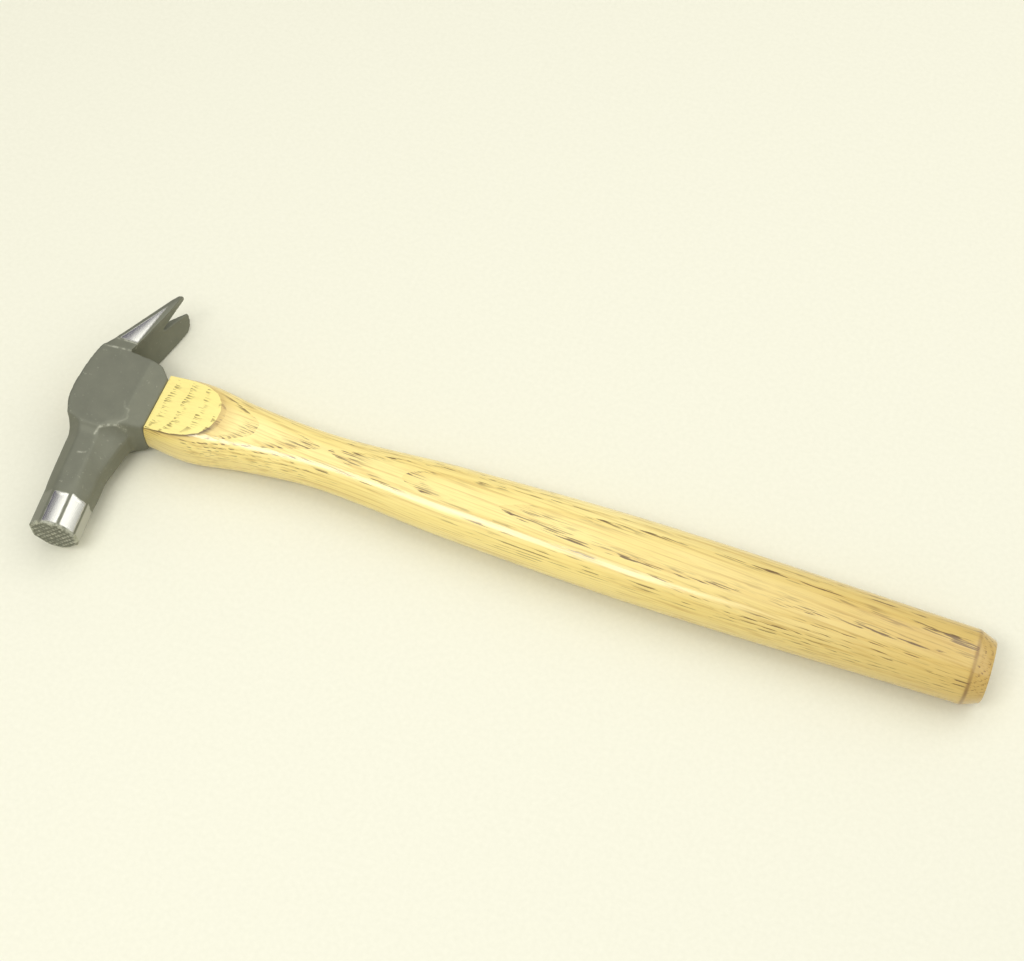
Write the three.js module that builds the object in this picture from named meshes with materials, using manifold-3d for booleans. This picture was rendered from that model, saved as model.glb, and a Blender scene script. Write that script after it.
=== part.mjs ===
import * as THREE from 'three';
import { mergeVertices } from 'three/addons/utils/BufferGeometryUtils.js';
import Module from 'manifold-3d';

// A driving hammer lying on its side, in millimetres.
// X runs along the handle from the head to the butt, Y along the head from the striking face
// to the claw, and Z across the two cheeks. The pieces are drawn with X = 0 at the underside of
// the head and Y = Z = 0 on the axis of the handle, and the whole is then set on the ground.

// Eye block of the head
const HEAD_DEPTH = 29.2;
const CHEEK_WIDTH = 22;
const CLAW_SHOULDER = 13.2;
const SHOULDER_LEAN = 1.2;
const SHOULDER_CHAMFER = 3.4;
const POLL_SHOULDER = 16;
const CHEEK_END = 18.6;
const TOP_TO_CLAW = 6;
const TOP_TO_POLL = 6;
const UNDERSIDE_BEVEL = 7;
const UNDERSIDE_BEVEL_DROP = 2.1;

// Claw
const CLAW_LENGTH = 30.16;
const CLAW_TOP_DROP = 2.4;
const CLAW_TOP_STEP = 0.15;
const CLAW_ROOT_THICKNESS = 10.8;
const CLAW_TIP_SETBACK = 8;
const CLAW_TIP_THICKNESS = 1.1;
const CLAW_CROWN = 2.4;
const CLAW_BELLY = 0.5;
const CLAW_SIDE_STEP = 0.5;
const CLAW_SIDE_STEP_RUN = 4.2;
const CLAW_DISH = 2.8;
const PRONG_CORNER_RADIUS = 5.4;
const NOTCH_MOUTH = 9;
const NOTCH_DEPTH = 12.5;
const NOTCH_ROOT_RADIUS = 0.8;

// Neck and poll, an eight-sided bar that leans a little towards the handle
const POLL_LENGTH = 39;
const POLL_WIDTH = 17.2;
const CHEEK_STAND = 2;
const POLL_CORNER_CUT = 3.65;
const POLL_LEAN = THREE.MathUtils.degToRad(4.5);
const NECK_TOP_DROP = 4.2;
const NECK_RUN = 4;
const NECK_TOP_RUN = 5;
const UNDERSIDE_FILLET = 8;
const CHEEK_FILLET = 6;
const FACET_RUNOUT_RADIUS = 7;
const FACET_RUNOUT_START = 3.4;

// Checkering of the striking face
const CHECKER_PITCH = 1.7;
const CHECKER_GROOVE_WIDTH = 0.8;
const CHECKER_GROOVE_DEPTH = 0.45;

// Eye through the head, a little wider at the top where the wedges spread the wood
const EYE_LENGTH = 18;
const EYE_WIDTH = 12.6;
const EYE_FLARE = 0.7;
const EYE_CORNER_RADIUS = 4.5;
const FIT_CLEARANCE = 0.3;

// Handle
const HANDLE_LENGTH = 300;
const SHOULDER_WIDTH = 25;
const SHOULDER_THICKNESS = 21.4;
const SWELL_AT = 14.5;
const SWELL_OFFSET = 0.8;
const SWELL_WIDTH = 27.7;
const SWELL_THICKNESS = 22;
const SWELL_RUNOUT = 20.5;
const SWELL_RUNOUT_WIDTH = 23;
const SWELL_RUNOUT_THICKNESS = 19.2;
const THROAT_RUN = 28;
const THROAT_WIDTH = 20;
const THROAT_THICKNESS = 17;
const RISE_RUN = 49;
const RISE_WIDTH = 25.9;
const RISE_THICKNESS = 20;
const GRIP_RUN = 73;
const GRIP_WIDTH = 29.8;
const GRIP_THICKNESS = 21.9;
const BUTT_WIDTH = 26.2;
const BUTT_THICKNESS = 20.6;
const BUTT_CHAMFER_LENGTH = 6;
const BUTT_CHAMFER_INSET = 2.2;
const SWELL_POWER = 3.1;
const GRIP_POWER = 2.3;
const SIDE_FLAT_THICKNESS = 13.8;
const SIDE_FLAT_SLOPE = 0.15;

// Wedges in the end of the tenon
const TENON_SETBACK = 0.6;
const WOOD_WEDGE_THICKNESS = 3.2;
const WOOD_WEDGE_EDGE = 1;
const WOOD_WEDGE_DEPTH = 21;
const STEEL_WEDGE_THICKNESS = 2.2;
const STEEL_WEDGE_EDGE = 0.8;
const STEEL_WEDGE_DEPTH = 9;
const STEEL_WEDGE_WIDTH = 9;

// Smoothness of the curves
const ARC_STEPS = 8;
const DISH_STEPS = 128;
const OVAL_SIDES = 44;
const HANDLE_STEPS = 44;

// Length by which a cutting shape passes the surface that it cuts
const OVERCUT = 3;

const wasm = await Module();
wasm.setup();

function solid(geometry) {
  const bare = geometry.clone();
  bare.deleteAttribute('normal');
  bare.deleteAttribute('uv');
  const merged = mergeVertices(bare);
  const mesh = new wasm.Mesh({
    numProp: 3,
    vertProperties: merged.attributes.position.array,
    triVerts: new Uint32Array(merged.index.array),
  });
  return new wasm.Manifold(mesh);
}

function geometryOf(manifold) {
  const mesh = manifold.getMesh();
  const geometry = new THREE.BufferGeometry();
  geometry.setAttribute('position', new THREE.BufferAttribute(new Float32Array(mesh.vertProperties), 3));
  geometry.setIndex(new THREE.BufferAttribute(new Uint32Array(mesh.triVerts), 1));
  geometry.computeVertexNormals();
  return geometry;
}

// A flat outline pushed to both sides of its plane, placed so that its own x and y lie along the
// two given directions.
function slab(shape, width, xAxis, yAxis, origin = new THREE.Vector3()) {
  const geometry = new THREE.ExtrudeGeometry(shape, {
    depth: width,
    bevelEnabled: false,
    curveSegments: ARC_STEPS,
  });
  geometry.translate(0, 0, -width / 2);
  const normal = new THREE.Vector3().crossVectors(xAxis, yAxis);
  const place = new THREE.Matrix4().makeBasis(xAxis, yAxis, normal).setPosition(origin);
  return solid(geometry.applyMatrix4(place));
}

// A skin over closed rings of equal count, with a flat cap on each end.
function loft(rings) {
  const sides = rings[0].length;
  const points = rings.flat();
  const faces = [];
  for (let ring = 0; ring + 1 < rings.length; ring += 1) {
    for (let side = 0; side < sides; side += 1) {
      const a = ring * sides + side;
      const b = ring * sides + (side + 1) % sides;
      faces.push(a, b, b + sides, a, b + sides, a + sides);
    }
  }
  const last = (rings.length - 1) * sides;
  for (let side = 1; side + 1 < sides; side += 1) {
    faces.push(0, side + 1, side);
    faces.push(last, last + side, last + side + 1);
  }
  const geometry = new THREE.BufferGeometry().setFromPoints(points);
  geometry.setIndex(faces);
  return solid(geometry);
}

const X = new THREE.Vector3(1, 0, 0);
const Y = new THREE.Vector3(0, 1, 0);
const Z = new THREE.Vector3(0, 0, 1);

// Directions of the poll: along it to the striking face, and across it towards the handle
const pollAlong = new THREE.Vector3(Math.sin(POLL_LEAN), -Math.cos(POLL_LEAN), 0);
const pollAcross = new THREE.Vector3(Math.cos(POLL_LEAN), Math.sin(POLL_LEAN), 0);
const neckStart = POLL_SHOULDER + NECK_RUN;
const neckHalf = CHEEK_WIDTH / 2 - CHEEK_STAND;
const neckCentre = new THREE.Vector3(NECK_TOP_DROP + POLL_WIDTH / 2 - HEAD_DEPTH, -neckStart, 0);

function onPoll(along, across) {
  return neckCentre.clone().addScaledVector(pollAlong, along).addScaledVector(pollAcross, across);
}

// End of the eye block beside the claw, at the handle
const outerShoulder = CLAW_SHOULDER - SHOULDER_LEAN;

// Roots of the claw's top and underside and its tip, with the directions along it and away from it
const clawReach = CLAW_SHOULDER + CLAW_LENGTH;
const clawTop = new THREE.Vector3(CLAW_TOP_DROP - HEAD_DEPTH, CLAW_SHOULDER, 0);
const clawRoot = new THREE.Vector3(clawTop.x + CLAW_ROOT_THICKNESS, CLAW_SHOULDER, 0);
const clawTip = new THREE.Vector3(-CLAW_TIP_SETBACK, clawReach - CLAW_TIP_THICKNESS / 2, 0);
const undersideLength = clawTip.distanceTo(clawRoot);
const clawAlong = clawTip.clone().sub(clawRoot).normalize();
const clawAway = new THREE.Vector3().crossVectors(clawAlong, Z);

// Arc along the underside of the claw, bulging a little towards the handle
function clawUnderside() {
  const radius = (undersideLength ** 2 / 4 + CLAW_BELLY ** 2) / (2 * CLAW_BELLY);
  const centre = clawRoot.clone().lerp(clawTip, 0.5).addScaledVector(clawAway, CLAW_BELLY - radius);
  const from = clawRoot.clone().sub(centre);
  const to = clawTip.clone().sub(centre);
  return { centre, radius, from: Math.atan2(from.y, from.x), to: Math.atan2(to.y, to.x) };
}

// Top of the claw at its tip, along the two sides
const clawTipTop = -CLAW_TIP_SETBACK - CLAW_TIP_THICKNESS;

// Outline of the head as seen on its cheek, in X and Y
function sideOutline() {
  const face = [onPoll(POLL_LENGTH, -POLL_WIDTH / 2), onPoll(POLL_LENGTH, POLL_WIDTH / 2)];
  const topNeck = onPoll(NECK_TOP_RUN, -POLL_WIDTH / 2);
  const underNeck = onPoll(UNDERSIDE_FILLET - NECK_RUN, POLL_WIDTH / 2);
  const under = clawUnderside();
  const outline = new THREE.Shape();
  outline.moveTo(0, outerShoulder - SHOULDER_CHAMFER);
  outline.lineTo(-SHOULDER_CHAMFER, outerShoulder);
  outline.lineTo(clawRoot.x, clawRoot.y);
  outline.absarc(under.centre.x, under.centre.y, under.radius, under.from, under.to);
  outline.lineTo(clawTipTop, clawReach);
  outline.lineTo(clawTipTop - CLAW_CROWN - OVERCUT, clawReach);
  outline.lineTo(clawTop.x, clawTop.y);
  outline.quadraticCurveTo(-HEAD_DEPTH, TOP_TO_CLAW, -HEAD_DEPTH, -TOP_TO_POLL);
  outline.bezierCurveTo(-HEAD_DEPTH, -POLL_SHOULDER, topNeck.x, -POLL_SHOULDER, topNeck.x, topNeck.y);
  outline.lineTo(face[0].x, face[0].y);
  outline.lineTo(face[1].x, face[1].y);
  outline.lineTo(underNeck.x, underNeck.y);
  outline.quadraticCurveTo(underNeck.x, -POLL_SHOULDER, 0, -POLL_SHOULDER);
  return outline;
}

// Outline of the head as seen along the handle, drawn with Y across the page and Z up it
function endOutline() {
  const cheek = CHEEK_WIDTH / 2;
  const side = cheek - CLAW_SIDE_STEP;
  const sideStart = CLAW_SHOULDER + CLAW_SIDE_STEP_RUN;
  const turn = Math.acos(1 - CHEEK_STAND / CHEEK_FILLET);
  const neckEnd = -CHEEK_END - CHEEK_FILLET * Math.sin(turn);
  const faceEnd = -neckStart - POLL_LENGTH - OVERCUT;
  const round = PRONG_CORNER_RADIUS;
  const down = -Math.PI / 2;
  const outline = new THREE.Shape();
  outline.moveTo(CLAW_SHOULDER, -cheek);
  outline.lineTo(sideStart, -side);
  outline.lineTo(clawReach - round, -side);
  outline.absarc(clawReach - round, -side + round, round, down, 0);
  outline.absarc(clawReach - round, side - round, round, 0, -down);
  outline.lineTo(sideStart, side);
  outline.lineTo(CLAW_SHOULDER, cheek);
  outline.lineTo(-CHEEK_END, cheek);
  outline.absarc(neckEnd, neckHalf + CHEEK_FILLET, CHEEK_FILLET, down + turn, down, true);
  outline.lineTo(faceEnd, neckHalf);
  outline.lineTo(faceEnd, -neckHalf);
  outline.absarc(neckEnd, -neckHalf - CHEEK_FILLET, CHEEK_FILLET, -down, -down - turn, true);
  outline.lineTo(-CHEEK_END, -cheek);
  return outline;
}

// Outline of the eye block as seen along the head, with its bevels on the side of the handle
function topOutline() {
  const cheek = CHEEK_WIDTH / 2;
  const edge = cheek - UNDERSIDE_BEVEL_DROP;
  const outline = new THREE.Shape();
  outline.moveTo(-HEAD_DEPTH - OVERCUT, -cheek);
  outline.lineTo(-UNDERSIDE_BEVEL, -cheek);
  outline.lineTo(0, -edge);
  outline.lineTo(0, edge);
  outline.lineTo(-UNDERSIDE_BEVEL, cheek);
  outline.lineTo(-HEAD_DEPTH - OVERCUT, cheek);
  return outline;
}

// Grinding cut for one corner facet of the poll: straight along the facet, then a round run-out
// towards the cheek. The outline has the poll's length across the page and the outward way up it.
function facetCut(acrossSign, zSign) {
  const facet = (POLL_WIDTH / 2 + neckHalf) * Math.SQRT1_2 - POLL_CORNER_CUT;
  const deep = facet + CHEEK_WIDTH;
  const start = FACET_RUNOUT_START;
  const radius = FACET_RUNOUT_RADIUS;
  const outline = new THREE.Shape();
  outline.moveTo(POLL_LENGTH + OVERCUT, facet);
  outline.lineTo(POLL_LENGTH + OVERCUT, deep);
  outline.lineTo(start - radius, deep);
  outline.lineTo(start - radius, facet + radius);
  outline.absarc(start, facet + radius, radius, Math.PI, Math.PI * 1.5);
  const outward = pollAcross.clone().multiplyScalar(acrossSign).addScaledVector(Z, zSign).normalize();
  return slab(outline, CHEEK_WIDTH + POLL_WIDTH, pollAlong, outward, neckCentre);
}

// Row of straight V grooves over the striking face, turned about the poll
function checkerCut(turn) {
  const reach = POLL_WIDTH;
  const count = Math.ceil(reach / CHECKER_PITCH);
  const lift = CHECKER_GROOVE_DEPTH / 2;
  const mouth = (CHECKER_GROOVE_WIDTH / 2) * (1 + lift / CHECKER_GROOVE_DEPTH);
  const outline = new THREE.Shape();
  outline.moveTo(-reach - CHECKER_PITCH, OVERCUT);
  outline.lineTo(-reach - CHECKER_PITCH, lift);
  for (let groove = -count; groove <= count; groove += 1) {
    const middle = groove * CHECKER_PITCH;
    outline.lineTo(middle - mouth, lift);
    outline.lineTo(middle, -CHECKER_GROOVE_DEPTH);
    outline.lineTo(middle + mouth, lift);
  }
  outline.lineTo(reach + 2 * CHECKER_PITCH, lift);
  outline.lineTo(reach + 2 * CHECKER_PITCH, OVERCUT);
  const across = pollAcross.clone().multiplyScalar(Math.cos(turn)).addScaledVector(Z, Math.sin(turn));
  return slab(outline, 2 * reach, across, pollAlong, onPoll(POLL_LENGTH, 0));
}

// Hollow ground along the underside of the claw: a ring round the centre of its arc, whose inner
// wall crowns inwards between the two edges of the claw, kept to the claw's side of the shoulder
function dishCut() {
  const under = clawUnderside();
  const half = CHEEK_WIDTH / 2;
  const profile = [];
  for (let step = -ARC_STEPS; step <= ARC_STEPS; step += 1) {
    const share = -step / ARC_STEPS;
    profile.push(new THREE.Vector2(under.radius - CLAW_DISH * (1 - share ** 2), half * share));
  }
  profile.push(new THREE.Vector2(under.radius + HEAD_DEPTH, -half));
  profile.push(new THREE.Vector2(under.radius + HEAD_DEPTH, half));
  profile.push(profile[0].clone());
  const ring = new THREE.LatheGeometry(profile, DISH_STEPS);
  ring.rotateX(Math.PI / 2);
  ring.translate(under.centre.x, under.centre.y, 0);
  const reach = CLAW_LENGTH + OVERCUT;
  const claw = new THREE.BoxGeometry(2 * HEAD_DEPTH, reach, CHEEK_WIDTH);
  claw.translate(0, CLAW_SHOULDER + reach / 2, 0);
  return solid(ring).intersect(solid(claw));
}

// Room under the top of the claw, which is straight along its two edges and crowned across between
// them, more so towards the tip, joined to the room of the eye block and the poll
function underClawTop() {
  const half = CHEEK_WIDTH / 2 + FIT_CLEARANCE;
  const ringAt = (share) => {
    const y = CLAW_SHOULDER + share * CLAW_LENGTH;
    const edge = THREE.MathUtils.lerp(clawTop.x + CLAW_TOP_STEP, clawTipTop, share);
    const ring = [new THREE.Vector3(OVERCUT, y, -half)];
    for (let step = -ARC_STEPS; step <= ARC_STEPS; step += 1) {
      const across = step / ARC_STEPS;
      ring.push(new THREE.Vector3(edge - share * CLAW_CROWN * (1 - across ** 2), y, half * across));
    }
    ring.push(new THREE.Vector3(OVERCUT, y, half));
    return ring;
  };
  const length = clawReach + neckStart + POLL_LENGTH;
  const rest = new THREE.BoxGeometry(4 * HEAD_DEPTH, length, 2 * CHEEK_WIDTH);
  rest.translate(0, outerShoulder - SHOULDER_CHAMFER - length / 2, 0);
  return loft([ringAt(-0.3), ringAt(1.1)]).add(solid(rest));
}

// V notch between the prongs, with a round root
function notchCut() {
  const rootCentre = undersideLength - NOTCH_DEPTH + NOTCH_ROOT_RADIUS;
  const slope = Math.atan2(NOTCH_MOUTH / 2 - NOTCH_ROOT_RADIUS, NOTCH_DEPTH);
  const far = undersideLength + OVERCUT;
  const flank = NOTCH_MOUTH / 2 + OVERCUT * Math.tan(slope);
  const quarter = Math.PI / 2;
  const outline = new THREE.Shape();
  outline.moveTo(far, -flank);
  outline.lineTo(far, flank);
  outline.absarc(rootCentre, 0, NOTCH_ROOT_RADIUS, quarter + slope, 3 * quarter - slope);
  return slab(outline, 2 * HEAD_DEPTH, clawAlong, Z, clawRoot);
}

// Middle of the eye, halfway between the two ends of its block
const eyeMiddle = new THREE.Vector3(0, (outerShoulder - POLL_SHOULDER) / 2, 0);

// Rounded rectangle across the handle at one place along it
function eyeRing(x, length, width, corner) {
  const shape = new THREE.Shape();
  const flatY = length / 2 - corner;
  const flatZ = width / 2 - corner;
  const quarter = Math.PI / 2;
  shape.absarc(flatY, flatZ, corner, 0, quarter);
  shape.absarc(-flatY, flatZ, corner, quarter, 2 * quarter);
  shape.absarc(-flatY, -flatZ, corner, 2 * quarter, 3 * quarter);
  shape.absarc(flatY, -flatZ, corner, 3 * quarter, 4 * quarter);
  const outline = shape.extractPoints(ARC_STEPS).shape;
  return outline.map((point) => new THREE.Vector3(x, eyeMiddle.y + point.x, point.y));
}

// The eye, or the tenon when a clearance is taken off all round, widening towards the head's top
function eyeSolid(from, to, clearance) {
  const widthAt = (x) => EYE_WIDTH - (2 * EYE_FLARE * x) / HEAD_DEPTH - 2 * clearance;
  const ringAt = (x) => eyeRing(x, EYE_LENGTH - 2 * clearance, widthAt(x), EYE_CORNER_RADIUS - clearance);
  return loft([ringAt(from), ringAt(to)]);
}

function headGeometry() {
  let head = slab(sideOutline(), CHEEK_WIDTH + OVERCUT, X, Y);
  const length = 2 * (clawReach + neckStart + POLL_LENGTH);
  head = head.intersect(slab(endOutline(), 2 * HEAD_DEPTH + 2 * OVERCUT, Y, Z));
  head = head.intersect(slab(topOutline(), length, X, Z));
  for (const acrossSign of [-1, 1]) {
    for (const zSign of [-1, 1]) {
      head = head.subtract(facetCut(acrossSign, zSign));
    }
  }
  head = head.intersect(underClawTop());
  head = head.subtract(dishCut());
  head = head.subtract(notchCut());
  head = head.subtract(eyeSolid(-HEAD_DEPTH - OVERCUT, OVERCUT, 0));
  for (const turn of [Math.PI / 4, -Math.PI / 4]) {
    head = head.subtract(checkerCut(turn));
  }
  return geometryOf(head);
}

// Stations along the handle, each a run further from the head
const runoutAt = SWELL_AT + SWELL_RUNOUT;
const throatAt = runoutAt + THROAT_RUN;
const riseAt = throatAt + RISE_RUN;
const gripAt = riseAt + GRIP_RUN;

// Oval across the handle with softly squared sides
function ovalRing(x, width, thickness) {
  const toGrip = THREE.MathUtils.smoothstep(x, SWELL_AT, throatAt);
  const power = THREE.MathUtils.lerp(SWELL_POWER, GRIP_POWER, toGrip);
  const shift = SWELL_OFFSET * (toGrip - 1);
  const ring = [];
  for (let side = 0; side < OVAL_SIDES; side += 1) {
    const angle = (2 * Math.PI * side) / OVAL_SIDES;
    const y = Math.sign(Math.cos(angle)) * Math.abs(Math.cos(angle)) ** (2 / power);
    const z = Math.sign(Math.sin(angle)) * Math.abs(Math.sin(angle)) ** (2 / power);
    ring.push(new THREE.Vector3(x, shift + (y * width) / 2, (z * thickness) / 2));
  }
  return ring;
}

function shaftSolid() {
  const profile = new THREE.CatmullRomCurve3([
    new THREE.Vector3(FIT_CLEARANCE, SHOULDER_WIDTH, SHOULDER_THICKNESS),
    new THREE.Vector3(SWELL_AT, SWELL_WIDTH, SWELL_THICKNESS),
    new THREE.Vector3(runoutAt, SWELL_RUNOUT_WIDTH, SWELL_RUNOUT_THICKNESS),
    new THREE.Vector3(throatAt, THROAT_WIDTH, THROAT_THICKNESS),
    new THREE.Vector3(riseAt, RISE_WIDTH, RISE_THICKNESS),
    new THREE.Vector3(gripAt, GRIP_WIDTH, GRIP_THICKNESS),
    new THREE.Vector3(HANDLE_LENGTH - BUTT_CHAMFER_LENGTH, BUTT_WIDTH, BUTT_THICKNESS),
  ]);
  const rings = profile.getPoints(HANDLE_STEPS).map((size) => ovalRing(size.x, size.y, size.z));
  const inset = 2 * BUTT_CHAMFER_INSET;
  rings.push(ovalRing(HANDLE_LENGTH, BUTT_WIDTH - inset, BUTT_THICKNESS - inset));
  return loft(rings);
}

// Sloping cut that leaves one side flat of the swell
function sideFlatCut(zSign) {
  const start = SIDE_FLAT_THICKNESS / 2;
  const outline = new THREE.Shape();
  outline.moveTo(-OVERCUT, start - OVERCUT * SIDE_FLAT_SLOPE);
  outline.lineTo(throatAt, start + throatAt * SIDE_FLAT_SLOPE);
  outline.lineTo(throatAt, start + SWELL_THICKNESS);
  outline.lineTo(-OVERCUT, start + SWELL_THICKNESS);
  const up = Z.clone().multiplyScalar(zSign);
  return slab(outline, 2 * SWELL_WIDTH, X, up);
}

// A wedge that narrows along the handle: its thick end is set in from the head's top
const wedgeTop = TENON_SETBACK - HEAD_DEPTH;

function wedgeOutline(thickness, edge, depth, clearance) {
  const outline = new THREE.Shape();
  const reach = clearance > 0 ? OVERCUT : 0;
  const grow = (reach * (thickness - edge)) / (2 * depth);
  outline.moveTo(wedgeTop - reach, -thickness / 2 - clearance - grow);
  outline.lineTo(wedgeTop + depth + clearance, -edge / 2 - clearance);
  outline.lineTo(wedgeTop + depth + clearance, edge / 2 + clearance);
  outline.lineTo(wedgeTop - reach, thickness / 2 + clearance + grow);
  return outline;
}

function woodWedge(clearance) {
  const outline = wedgeOutline(WOOD_WEDGE_THICKNESS, WOOD_WEDGE_EDGE, WOOD_WEDGE_DEPTH, clearance);
  const length = EYE_LENGTH - 2 * FIT_CLEARANCE + 2 * clearance;
  return slab(outline, length, X, Z, eyeMiddle);
}

function steelWedge(clearance) {
  const outline = wedgeOutline(STEEL_WEDGE_THICKNESS, STEEL_WEDGE_EDGE, STEEL_WEDGE_DEPTH, clearance);
  return slab(outline, STEEL_WEDGE_WIDTH + 2 * clearance, X, Y, eyeMiddle);
}

function handleGeometry() {
  let handle = shaftSolid();
  for (const zSign of [-1, 1]) {
    handle = handle.subtract(sideFlatCut(zSign));
  }
  handle = handle.add(eyeSolid(wedgeTop, FIT_CLEARANCE + OVERCUT, FIT_CLEARANCE));
  handle = handle.subtract(woodWedge(FIT_CLEARANCE));
  handle = handle.subtract(steelWedge(FIT_CLEARANCE));
  return geometryOf(handle);
}

function woodWedgeGeometry() {
  return geometryOf(woodWedge(0).subtract(steelWedge(FIT_CLEARANCE)));
}

function steelWedgeGeometry() {
  return geometryOf(steelWedge(0));
}

const forgedSteel = new THREE.MeshStandardMaterial({ color: '#83836f', roughness: 0.55, metalness: 0.8 });
const lacqueredWood = new THREE.MeshStandardMaterial({ color: '#efd99a', roughness: 0.3, metalness: 0 });
const plainWood = new THREE.MeshStandardMaterial({ color: '#cfa66b', roughness: 0.7, metalness: 0 });
const brightSteel = new THREE.MeshStandardMaterial({ color: '#8c8d8f', roughness: 0.4, metalness: 1 });

const hammer = new THREE.Group();

function place(name, geometry, material) {
  const mesh = new THREE.Mesh(geometry, material);
  mesh.name = name;
  hammer.add(mesh);
}

place('hammer_head', headGeometry(), forgedSteel);
place('handle', handleGeometry(), lacqueredWood);
place('wooden_wedge', woodWedgeGeometry(), plainWood);
place('steel_wedge', steelWedgeGeometry(), brightSteel);

// Lying on its lower cheek with the middle of its outline over the origin
const extent = new THREE.Box3().setFromObject(hammer);
const centre = extent.getCenter(new THREE.Vector3());
hammer.position.set(-centre.x, -centre.y, -extent.min.z);

export default hammer;
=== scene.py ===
import math

import bpy
import numpy as np
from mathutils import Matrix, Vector


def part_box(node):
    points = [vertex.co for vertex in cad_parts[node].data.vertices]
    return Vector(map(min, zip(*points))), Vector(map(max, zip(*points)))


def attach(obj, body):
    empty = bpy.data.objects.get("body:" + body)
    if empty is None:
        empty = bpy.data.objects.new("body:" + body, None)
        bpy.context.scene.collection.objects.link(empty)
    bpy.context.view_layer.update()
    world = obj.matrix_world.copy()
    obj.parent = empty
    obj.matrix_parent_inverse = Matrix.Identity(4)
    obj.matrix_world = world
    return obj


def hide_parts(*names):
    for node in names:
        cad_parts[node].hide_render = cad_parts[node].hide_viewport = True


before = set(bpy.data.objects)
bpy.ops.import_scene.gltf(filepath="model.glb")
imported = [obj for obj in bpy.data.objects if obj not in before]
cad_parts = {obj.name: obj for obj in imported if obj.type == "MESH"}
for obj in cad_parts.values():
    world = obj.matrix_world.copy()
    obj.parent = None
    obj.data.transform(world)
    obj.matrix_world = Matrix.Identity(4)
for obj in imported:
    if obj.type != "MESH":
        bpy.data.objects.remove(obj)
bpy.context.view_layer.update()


# Hammer head: one steel forging with a claw, an eye block and an eight-sided poll. It is drop
# forged and shot-blasted matte grey, then ground bright on the end of the poll and on the sides of
# the claw. The striking face is checkered.

MM = 0.001
POLL_LEAN = math.radians(4.5)
POLL_LENGTH = 39 * MM
POLL_ROOT = Vector((-151.8, -11.903, 11)) * MM
CHECKER_CUT = 2 * MM
FACE_DRESSED = 0.1 * MM
RIM_ROUND = 1.3 * MM
SKIN_GRAIN = 0.38 * MM
poll_along = Vector((math.sin(POLL_LEAN), -math.cos(POLL_LEAN), 0))
poll_across = Vector((math.cos(POLL_LEAN), math.sin(POLL_LEAN), 0))


def work_on(piece, mode="OBJECT"):
    """Makes one piece the only selected one, in the given mode, with all of its mesh selected."""
    if bpy.context.mode != "OBJECT":
        bpy.ops.object.mode_set(mode="OBJECT")
    bpy.ops.object.select_all(action="DESELECT")
    piece.select_set(True)
    bpy.context.view_layer.objects.active = piece
    bpy.ops.object.mode_set(mode=mode)
    if mode == "EDIT":
        bpy.ops.mesh.select_mode(type="VERT")
        bpy.ops.mesh.select_all(action="SELECT")


def copy_of_node(node, name):
    """A new piece with the merged mesh of a solid, open for editing."""
    piece = bpy.data.objects.new(name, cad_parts[node].data.copy())
    bpy.context.scene.collection.objects.link(piece)
    piece.data.name = name
    piece.data.materials.clear()
    work_on(piece, "EDIT")
    bpy.ops.mesh.customdata_custom_splitnormals_clear()
    bpy.ops.mesh.remove_doubles(threshold=0.001 * MM)
    return piece


def finish_with(piece, kind, **settings):
    """Adds a modifier to a piece and applies it."""
    work_on(piece)
    modifier = piece.modifiers.new(kind.lower(), kind)
    for name, value in settings.items():
        setattr(modifier, name, value)
    bpy.ops.object.modifier_apply(modifier=modifier.name)


def points_of(piece):
    """The places of a piece's vertices, one row each."""
    flat = np.empty(len(piece.data.vertices) * 3)
    piece.data.vertices.foreach_get("co", flat)
    return flat.reshape(-1, 3)


def choose(piece, chosen):
    """Opens a piece for editing with only the chosen vertices selected."""
    work_on(piece)
    piece.data.polygons.foreach_set("select", np.zeros(len(piece.data.polygons), bool))
    piece.data.edges.foreach_set("select", np.zeros(len(piece.data.edges), bool))
    piece.data.vertices.foreach_set("select", chosen)
    bpy.ops.object.mode_set(mode="EDIT")


def soften(piece, chosen, repeat, keep_size=False):
    """Rounds the chosen vertices of a piece, as a file would, or only evens them out."""
    choose(piece, chosen)
    for _ in range(repeat):
        bpy.ops.mesh.vertices_smooth(factor=0.5)
        if keep_size:
            bpy.ops.mesh.vertices_smooth(factor=-0.52)
    bpy.ops.object.mode_set(mode="OBJECT")


head = copy_of_node("hammer_head", "forged_head")

# The bevels at the handle come down almost to the handle's flats
BEVEL_START = Vector((-142.4, 0, 11)) * MM
BEVEL_SLOPE = 3.5 / 7
CHEEK_HALF = 11 * MM
for side in (1, -1):
    bpy.ops.mesh.select_all(action="SELECT")
    bpy.ops.mesh.bisect(
        plane_co=BEVEL_START + Vector((0, 0, side * CHEEK_HALF)),
        plane_no=(BEVEL_SLOPE, 0, side),
        use_fill=True,
        clear_outer=True,
    )
bpy.ops.mesh.select_all(action="SELECT")

# The checkering is sawn off, and the plain face is drawn out again with a round rim
bpy.ops.mesh.bisect(
    plane_co=POLL_ROOT + poll_along * (POLL_LENGTH - CHECKER_CUT),
    plane_no=poll_along,
    use_fill=True,
    clear_outer=True,
)
drawn_out = poll_along * (CHECKER_CUT - FACE_DRESSED)
bpy.ops.mesh.extrude_region_move(TRANSFORM_OT_translate={"value": drawn_out})
bpy.ops.mesh.region_to_loop()
bpy.ops.mesh.bevel(offset=RIM_ROUND, segments=4)
finish_with(head, "REMESH", mode="VOXEL", voxel_size=SKIN_GRAIN, use_smooth_shade=True)
finish_with(head, "SMOOTH", factor=0.5, iterations=5)

# The thin ends of the prongs are dressed smooth
PRONG_END_Y = 42 * MM
soften(head, points_of(head)[:, 1] > PRONG_END_Y, repeat=14, keep_size=True)

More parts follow.
